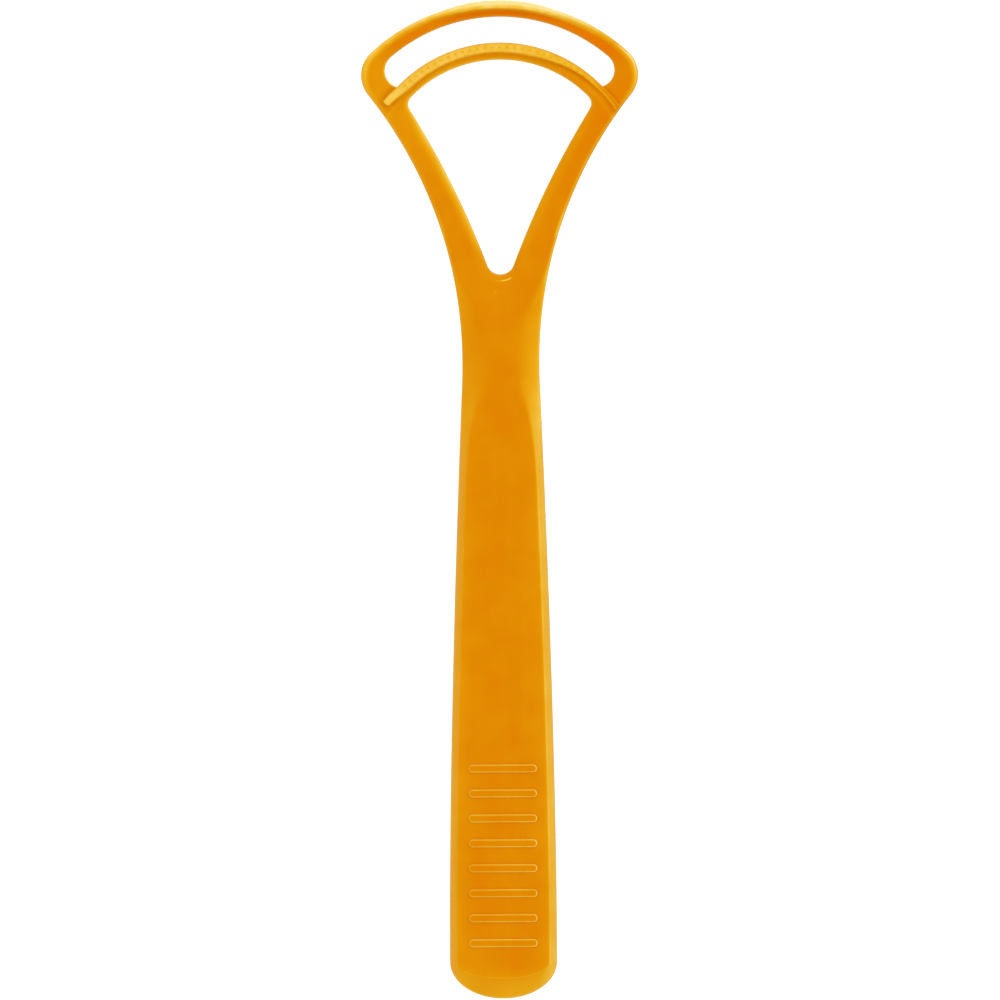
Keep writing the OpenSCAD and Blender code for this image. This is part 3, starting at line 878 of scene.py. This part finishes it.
outer_a = mix(slot_end_a, np.pi - slot_end_a, arch_t)
outer_inside = on_arc(arch_c, slot_r, outer_a)
outer_outside = seen_from(arch_c, outer_a, outer_c, outer_r)
make_bow("outer_bow_strip", outer_inside, outer_outside, outer_bow_steps, "outer_bow")
inner_inside = on_arc(arch_c, window_r, mix(window_end_a, np.pi - window_end_a, arch_t))
inner_outside = on_arc(arch_c, bow_r, mix(tip_a, np.pi - tip_a, arch_t))
make_bow("inner_bow_strip", inner_inside, inner_outside, bow_steps, "inner_bow")

# Blades: a plain lip along the outer bow and a notched rib along the inner one. They are so thin that
# light from behind turns the same plastic yellow. The rib runs on over both arms, where it is plain.
blade_h = low_high("smooth_blade")[1][2] - plate_t
blade_sink = 0.2
tooth_pitch, notch_w, notch_h = 1.2, 0.6, 0.4
toothed_end_gap = 1.5
thin_plastic = moulded_plastic("blade_plastic", 700.0)


def blade_profile(outer_share, inner_from, steps=32):
    """Cross-section from the outer foot, over the crest, to the inner foot.

    Gives each point's share of the width and of the height, and 1 for the first and the last point,
    which lie below the foot. The outside is a quarter ellipse, and the inside falls like a cosine.
    """
    u = closer_at_ends(steps)
    outside = np.sqrt(1 - np.clip(1 - u / outer_share, 0, 1) ** 2)
    inside = (1 + np.cos(np.pi * np.clip((u - inner_from) / (1 - inner_from), 0, 1))) / 2
    sunk = np.concatenate([[1], 0 * u, [1]])
    return np.concatenate([[0], u, [1]]), np.concatenate([[0], outside * inside, [0]]), sunk


def blade_sheet(c, radius, angle, height, thin):
    """Closed sheet of blade rings (sections, points around), with both ends drawn to a point."""
    place = np.dstack([on_arc(c, radius, angle), height])
    ends = [np.broadcast_to(place[k].mean(0), place[k].shape)[None] for k in (0, -1)]
    place = np.concatenate([ends[0], place, ends[1]])
    thin = np.concatenate([thin[:1], thin, thin[-1:]])
    ring = np.concatenate([place[:, -1:], place, place[:, :2]], 1)
    around = ring[:, 2:] - ring[:, :-2]
    along = np.gradient(ring[:, 1:-1], axis=0)
    normal = np.cross(along, around)
    middle = normal.shape[1] // 2
    if normal[len(normal) // 2, middle - 3 : middle + 3, 2].sum() < 0:
        normal = -normal
    normal = unit_normals(normal, [0.0, 0.0, 1.0])
    return ring[:, 1:-1], normal, np.concatenate([thin, thin[:, :1]], 1)


# Smooth lip on the outer edge of the bow, lower and slimmer towards the shoulders. lip_t runs from -1
# on the right shoulder to 1 on the left one, and each pair is where a change sets in and is full.
lip_crest_u, lip_in_from, lip_ramp_from = 0.1, 0.66, 0.2
lip_ramp_t, lip_end_t, lip_sink_t = (0.15, 0.75), (0.62, 0.92), (0.85, 1)
lip_middle_w, lip_end_w = 1.45, 0.95
lip_gap, lip_bulge, lip_bulge_t = 0.06, 0.3, 0.35
lip_middle_lift, lip_end_lift, lip_end_drop = 0.85, 0.35, 0.15
# Thinness at distances from the outside, in the middle of the lip and on its sides. Both also carry
# painted light on the lip's shaded inner slope, and the middle a painted highlight on its crest.
lip_middle_d = [0.37, 0.53, 0.69, 0.85, 1.01, 1.17, 1.33, 1.46]
lip_middle_thin_and_highlight = [1.05, 0.97, 0.77, 0.69, 0.66, 0.52, 0.25, 0.0]
lip_side_d = [0.1, 0.3, 0.49, 0.65, 0.81, 0.97, 1.13, 1.3]
lip_side_thin_and_light = [0.6, 0.8, 0.66, 0.55, 0.43, 0.3, 0.14, 0.05]
lip_middle_t, lip_middle_half = -0.1, 0.48
lip_thin_per_mm, lip_thin_less = 0.007, 0.02
brink_thin, brink_w = 0.35, 0.6
steep_bell = 4

lip_t = np.linspace(-1, 1, 241)[:, None]
lip_u, crest_rise, lip_sunk = blade_profile(lip_crest_u, lip_in_from)
_, ramp_rise, _ = blade_profile(lip_crest_u, lip_ramp_from)
lip_share = smooth_step(np.abs(lip_t), *lip_ramp_t)
lip_rise = mix(crest_rise, ramp_rise, lip_share)
lip_width = mix(lip_middle_w, lip_end_w, lip_t**2)
bulge = lip_bulge * bell(lip_t, 0, lip_bulge_t, steep_bell) * (1 - lip_u) ** 4
lip_radius = outer_r - lip_gap + bulge - lip_width * lip_u
lip_ends = smooth_step(np.abs(lip_t), *lip_end_t)
lip_lift = mix(lip_middle_lift, lip_end_lift, lip_share) * (1 - lip_ends)
lip_foot = arm_bevel_h * (1 - lip_u / lip_crest_u).clip(0, 1) ** 2
lip_foot = lip_foot + lip_end_drop * smooth_step(np.abs(lip_t), *lip_sink_t)
lip_height = plate_t - lip_foot + (blade_h + lip_foot) * lip_rise * lip_lift - blade_sink * lip_sunk
lip_angle = np.broadcast_to(mix(middle_a, shoulder_top_a, -lip_t), lip_height.shape)
lip_d = lip_width * lip_u + lip_gap
lip_side = np.interp(lip_d, lip_side_d, lip_side_thin_and_light)
lip_middle = np.interp(lip_d, lip_middle_d, lip_middle_thin_and_highlight)
lip_thin = mix(lip_side, lip_middle, bell(lip_t, lip_middle_t, lip_middle_half, steep_bell))
lip_thin = lip_thin + lip_thin_per_mm * lip_radius * np.cos(lip_angle) - lip_thin_less
# The ends of the lip take on the colours of the plate beside them, with a pale brink
lip_end_thin = shoulder_band_thin * edge_band(lip_d, shoulder_band_w)
lip_end_thin = lip_end_thin + brink_thin * falling(lip_d, 0, brink_w) - lip_deep * beside_lip(lip_angle)
lip_thin = mix(lip_thin, lip_end_thin, lip_ends)
smooth = blade_sheet(outer_c, lip_radius, lip_angle, lip_height, lip_thin)
make_piece("smooth_blade_lip", [smooth], thin_plastic, "blade_plastic", "smooth_blade", by_slope=0)

# Notched rib, with a cut end at the outside of the right arm and a round end on the left arm
rib_crest_u, rib_in_from, rib_gap = 0.12, 0.8, 0.03
rib_w, right_rib_w, run_out_w, run_out_shift = 1.8, 1.0, 1.15, 0.3
rib_u, rib_rise, rib_sunk = blade_profile(rib_crest_u, rib_in_from)
rib_foot_r = bow_r - rib_gap
run_out_r = rib_foot_r + run_out_shift
rib_middle_r = rib_foot_r - rib_w / 2
pitch_a = tooth_pitch / rib_middle_r
notch_half_a = notch_w / 2 / rib_middle_r
notch_count = int((middle_a - window_end_a) / pitch_a)
notched_half_a = (notch_count + 0.5) * pitch_a


def run_out_end(u):
    """Bearing at which the rib's line at the share u of its width leaves the right arm."""
    outside = flare_r + arm_bevel_w
    return bearing(arch_c, crossing(flare_c, outside, arch_c, run_out_r - run_out_w * u))


run_out_a = np.array([run_out_end(u) for u in rib_u])
left_end = crossing(flare_c, flare_r + toothed_end_gap, arch_c, rib_middle_r)
left_end_a = np.pi - bearing(arch_c, left_end)
end_half_a = rib_w / 4 / rib_middle_r

# Rings along the rib: right arm, notched part, left arm and round end, which stops short of its tip
arm_rings, tip_rings, rings_per_notch = 24, 12, 10
tip_turn = np.radians(89)
right_t = np.linspace(0, 1, arm_rings)[:-1, None]
notched_t = np.linspace(-1, 1, (2 * notch_count + 1) * rings_per_notch + 1)[:, None]
left_t = np.linspace(0, 1, arm_rings)[1:, None]
round_t = np.sin(tip_turn * np.linspace(0, 1, tip_rings))[1:, None]
ones = np.ones((1, len(rib_u)))
rib_angle = np.concatenate(
    [
        mix(run_out_a[None], middle_a - notched_half_a, right_t),
        (middle_a + notched_half_a * notched_t) * ones,
        mix(middle_a + notched_half_a, left_end_a - end_half_a, left_t) * ones,
        (left_end_a - end_half_a * (1 - round_t)) * ones,
    ]
)
straight_rings = len(rib_angle) - len(round_t)
end_share = np.concatenate([np.ones((straight_rings, 1)), np.sqrt(1 - round_t**4)])

# The rib narrows to the right and shifts outwards on both arms. Each pair is in degrees from the
# middle line, clockwise for the right and anticlockwise for the left.
narrow_turn, right_out_turn, right_in_turn, left_arm_turn = (12, 42), (42, 56), (43, 52), (43, 56)
low_turn, lines_turn = (12, 50), (40, 50)
left_out_shift, left_in_shift = 0.4, 0.7
left_lift, right_lift = 0.8, 0.25
notch_share, notch_flat = 0.3, 0.3
right_turn = np.degrees(middle_a - rib_angle)
on_left_arm = smooth_step(-right_turn, *left_arm_turn)
rib_outer_r = mix(rib_foot_r, run_out_r, smooth_step(right_turn, *right_out_turn))
rib_outer_r = rib_outer_r + left_out_shift * on_left_arm
rib_inner_line = rib_foot_r - mix(rib_w, right_rib_w, smooth_step(right_turn, *narrow_turn))
rib_inner_line = rib_inner_line + left_in_shift * on_left_arm
rib_inner_line = mix(rib_inner_line, run_out_r - run_out_w, smooth_step(right_turn, *right_in_turn))
rib_radius = mix(rib_outer_r, rib_inner_line, rib_u)
from_outer, from_inner = rib_outer_r - rib_radius, rib_radius - rib_inner_line
rib_radius = mix((rib_outer_r + rib_inner_line) / 2, rib_radius, end_share)
notch_phase = np.abs((rib_angle[:, :1] - middle_a + pitch_a / 2) % pitch_a - pitch_a / 2)
in_notches = np.abs(rib_angle[:, :1] - middle_a) < notched_half_a
notch = np.where(in_notches, falling(notch_phase / notch_half_a, notch_flat, 1), 0)
rib_lift = mix(left_lift, right_lift, smooth_step(right_turn, *low_turn)) * end_share**0.5
rib_height = (blade_h - notch_share * notch_h * notch) * rib_lift
rib_height = plate_t + rib_rise * rib_height - blade_sink * rib_sunk

# Thinness at distances from both feet, painted shade as darker spots in the notches, and two painted
# highlight lines along the rib's edges on the right arm
rib_inner_d, rib_inner_thin = [0, 0.15, 0.35], [0.1, 0.35, 0.62]
rib_outer_d, rib_outer_thin = [0, 0.15, 0.45], [0.2, 0.5, 0.64]
notch_shade, spot_d, spot_w = 0.2, 0.75, 0.16
inner_highlight_thin, inner_line_d, inner_line_w = 0.38, 0.3, 0.22
outer_highlight_thin, outer_line_d, outer_line_w = 0.3, 0.12, 0.1
left_thin_per_mm = 0.004
rib_thin = np.minimum(
    np.interp(from_inner, rib_inner_d, rib_inner_thin),
    np.interp(from_outer, rib_outer_d, rib_outer_thin),
)
rib_thin = rib_thin - notch_shade * notch * bell(from_outer, spot_d, spot_w)
# Painted highlights on the rib's two edges on the right arm
painted_edge_lines = inner_highlight_thin * bell(from_inner, inner_line_d, inner_line_w)
painted_edge_lines = painted_edge_lines + outer_highlight_thin * bell(from_outer, outer_line_d, outer_line_w)
rib_thin = mix(rib_thin, painted_edge_lines, smooth_step(right_turn, *lines_turn))
rib_thin = rib_thin + left_thin_per_mm * np.minimum(rib_radius * np.cos(rib_angle), 0)
toothed = blade_sheet(arch_c, rib_radius, rib_angle, rib_height, rib_thin)
make_piece("toothed_blade_rib", [toothed], thin_plastic, "blade_plastic", "toothed_blade", by_slope=0)

# Grip ribs: eight low bars across the panel near the butt, with round ends and rounded tops.
# They are moulded with the panel and give the fingers some hold.
(_, first_low, _), (rib_right, last_high, rib_top) = low_high("grip_ribs")
bar_w, bar_count, bar_sink = 1.3, 8, 0.1
bar_h = rib_top - handle_t
bar_pitch = (last_high - first_low - bar_w) / (bar_count - 1)
foot_thin, edge_thin, top_thin = 0.25, 0.35, 0.02

# Rings of one bar: below the panel, over the round edge, and closed on the crest line
around_t = np.linspace(0, 2 * np.pi, 49)
end_x = np.where(np.cos(around_t) > 0, 1, -1) * (rib_right - bar_w / 2)
rise_t = np.linspace(0, np.pi / 2, 9)[:, None]
inset = np.concatenate([[[0.0]], bar_h * (1 - np.cos(rise_t)), [[bar_w / 2]]])
lift = np.concatenate([[[-bar_sink]], bar_h * np.sin(rise_t), [[bar_h]]])
slope = np.concatenate([[[0.0]], rise_t, [[np.pi / 2]]])
bar_r = bar_w / 2 - inset
bar_x = end_x + bar_r * np.cos(around_t)
zero = 0 * bar_x
bar_normal = np.dstack(
    [np.cos(slope) * np.cos(around_t), np.cos(slope) * np.sin(around_t), np.sin(slope) + zero]
)
bar_thin = np.concatenate([[[foot_thin]], edge_thin * np.cos(rise_t), [[0.0]]]) + top_thin + zero
bars = []
for bar in range(bar_count):
    bar_y = first_low + bar_w / 2 + bar * bar_pitch + bar_r * np.sin(around_t)
    place = np.dstack([bar_x, bar_y, handle_t + lift + zero])
    foot = np.stack([place[0], np.broadcast_to(place[0].mean(0), place[0].shape)])
    bars.append((place, bar_normal, bar_thin))
    bars.append((foot, np.broadcast_to([0.0, 0.0, -1.0], foot.shape), np.zeros(foot.shape[:2])))
make_piece("grip_rib_bars", bars, plastic, "orange_plastic", "grip_ribs")

# Stage: a white floor that keeps a soft shadow, the camera straight above and four soft lamps.
# The strongest lamp stands on the right, a little towards the head.
photo_span = 160.56
camera_roll = 0.2575
middle_x, middle_y = -0.24, 0.04
lens, sensor = 300, 36
clip_near, clip_far = 0.1, 50
reach, floor_z = 4.0, -0.00005
paper_white, floor_light, sky_light = 0.8, 0.72, 0.53
lamp_size = 0.5
lamps = {
    "right_lamp": ((0.72, 0.22, 0.49), 2.3),
    "left_lamp": ((-0.755, 0, 0.49), 1.85),
    "head_lamp": ((0, 0.755, 0.49), 1.6),
    "butt_lamp": ((0, -0.755, 0.49), 1.65),
}
scene = bpy.context.scene
scene.view_settings.view_transform = "Standard"


def shows_white(start):
    """1 for rays from the camera and those that gloss or clear plastic sends on, 0 for other rays."""
    kinds = "Is Camera Ray", "Is Glossy Ray", "Is Transmission Ray"
    camera_ray, glossy, clear = (start.node("ShaderNodeLightPath", output=kind) for kind in kinds)
    return start.maths("MINIMUM", camera_ray + glossy + clear, 1.0)


# The floor gives off more light to those rays, so that it shows white, and is clear from below
floor_mesh = bpy.data.meshes.new("floor")
floor_corners = [(x * reach, y * reach, floor_z) for x, y in ((-1, -1), (1, -1), (1, 1), (-1, 1))]
floor_mesh.from_pydata(floor_corners, [], [(0, 1, 2, 3)])
floor = bpy.data.objects.new("floor", floor_mesh)
scene.collection.objects.link(floor)
floor_material, floor_shader, start = new_material("white_floor")
start.tree.nodes.remove(floor_shader)
paper = start.node("ShaderNodeBsdfDiffuse", {}, {"Color": (paper_white, paper_white, paper_white, 1)})
glow = start.node("ShaderNodeEmission", {}, {"Color": (1, 1, 1, 1), "Strength": floor_light})
shown = start.node("ShaderNodeAddShader", {}, {0: paper, 1: glow})
lit = start.node("ShaderNodeMixShader", {}, {0: shows_white(start), 1: paper, 2: shown})
under = start.node("ShaderNodeNewGeometry", output="Backfacing")
clear = start.node("ShaderNodeBsdfTransparent")
sided = start.node("ShaderNodeMixShader", {}, {0: under, 1: lit, 2: clear})
start.tree.links.new(sided.socket, start.tree.nodes["Material Output"].inputs["Surface"])
floor_mesh.materials.append(floor_material)

# The sky is white to those rays too, and lights everything else less
world = bpy.data.worlds.new("studio")
scene.world = world
world.use_nodes = True
background = world.node_tree.nodes["Background"]
background.inputs["Color"].default_value = (1, 1, 1, 1)
strength = mix(sky_light, 1.0, shows_white(Value(world.node_tree, None)))
world.node_tree.links.new(strength.socket, background.inputs["Strength"])

# Square area lamps that face the middle of the tool
for name, (place, watts) in lamps.items():
    data = bpy.data.lights.new(name, "AREA")
    data.size, data.energy = lamp_size, watts
    lamp = bpy.data.objects.new(name, data)
    scene.collection.objects.link(lamp)
    lamp.location = place
    lamp.rotation_euler = (-lamp.location).to_track_quat("-Z", "Y").to_euler()

camera_data = bpy.data.cameras.new("camera")
camera_data.lens, camera_data.sensor_width = lens, sensor
camera = bpy.data.objects.new("camera", camera_data)
scene.collection.objects.link(camera)
camera.location = (middle_x * MM, middle_y * MM, photo_span * MM * lens / sensor + plate_t / 2 * MM)
camera.rotation_euler = (0, 0, np.radians(-camera_roll))
camera_data.clip_start, camera_data.clip_end = clip_near, clip_far
scene.camera = camera
